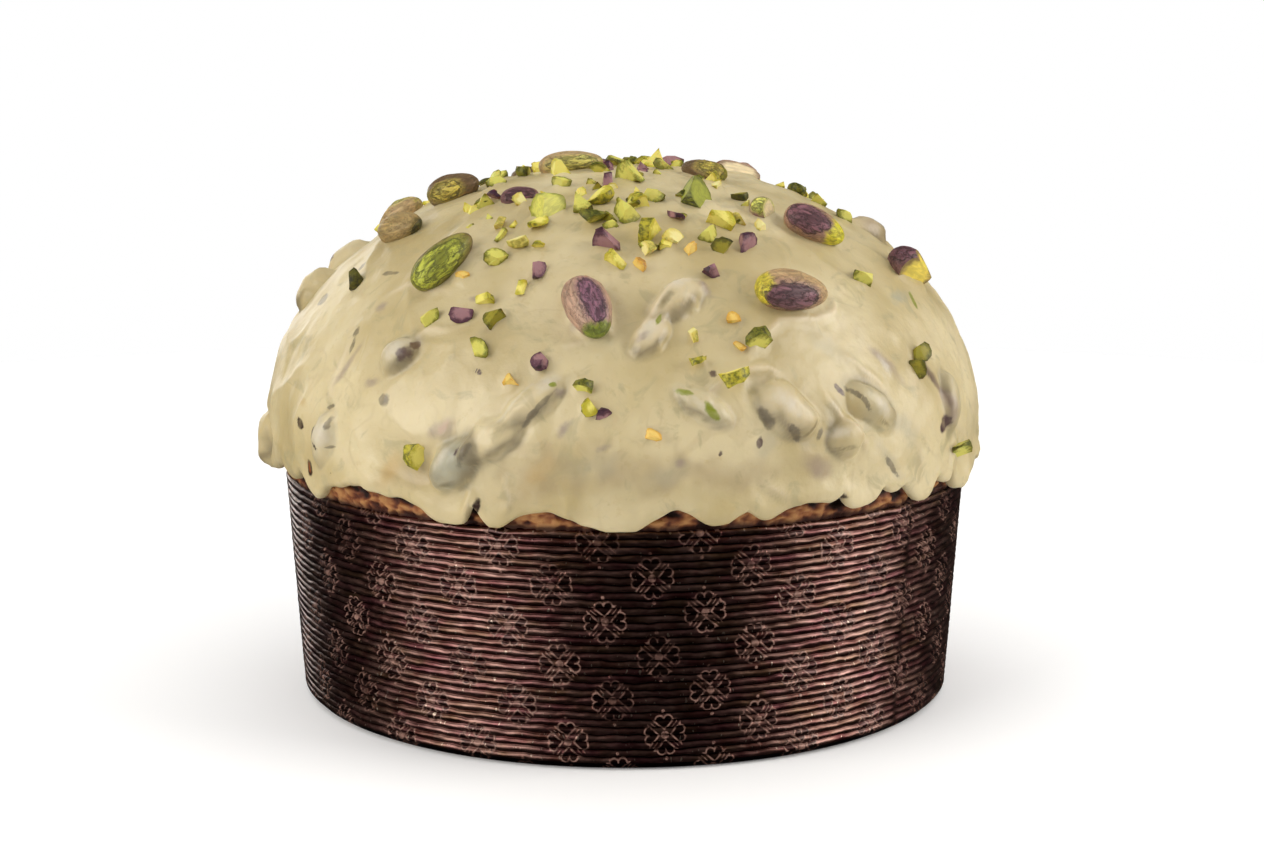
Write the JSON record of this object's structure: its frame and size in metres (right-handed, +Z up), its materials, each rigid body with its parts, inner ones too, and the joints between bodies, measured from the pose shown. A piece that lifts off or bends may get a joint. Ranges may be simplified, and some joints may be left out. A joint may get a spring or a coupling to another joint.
{
  "type": "panettone",
  "caption": "Low panettone in a ribbed paper baking case, its dome coated in pale pistachio glaze with whole and chopped nuts.",
  "frame": {"origin": "centre of the paper case's flat foot, on the surface that the cake stands on", "axes": "+Z up through the middle of the dome; the side shown in the picture faces -Y"},
  "size_m": [0.1931, 0.1951, 0.1452],
  "materials": {
    "case_paper": "dark brown corrugated baking paper with a satin coat and a pale rosette print",
    "crust": "browned baked dough",
    "glaze": "set pistachio cream, satin gloss",
    "pistachio": "raw nut, green with purple skin"
  },
  "bodies": {
    "root": {"paper_case": "case_paper", "dough": "crust", "glaze": "glaze", "pistachio_01": "pistachio", "pistachio_02": "pistachio", "pistachio_03": "pistachio", "pistachio_04": "pistachio", "pistachio_05": "pistachio", "pistachio_06": "pistachio", "pistachio_07": "pistachio", "pistachio_08": "pistachio", "pistachio_09": "pistachio", "pistachio_10": "pistachio", "pistachio_11": "pistachio", "pistachio_12": "pistachio", "pistachio_13": "pistachio", "pistachio_14": "pistachio", "pistachio_15": "pistachio", "pistachio_16": "pistachio", "pistachio_17": "pistachio", "pistachio_18": "pistachio", "pistachio_19": "pistachio", "pistachio_20": "pistachio", "pistachio_21": "pistachio", "pistachio_22": "pistachio"}
  },
  "joints": []
}
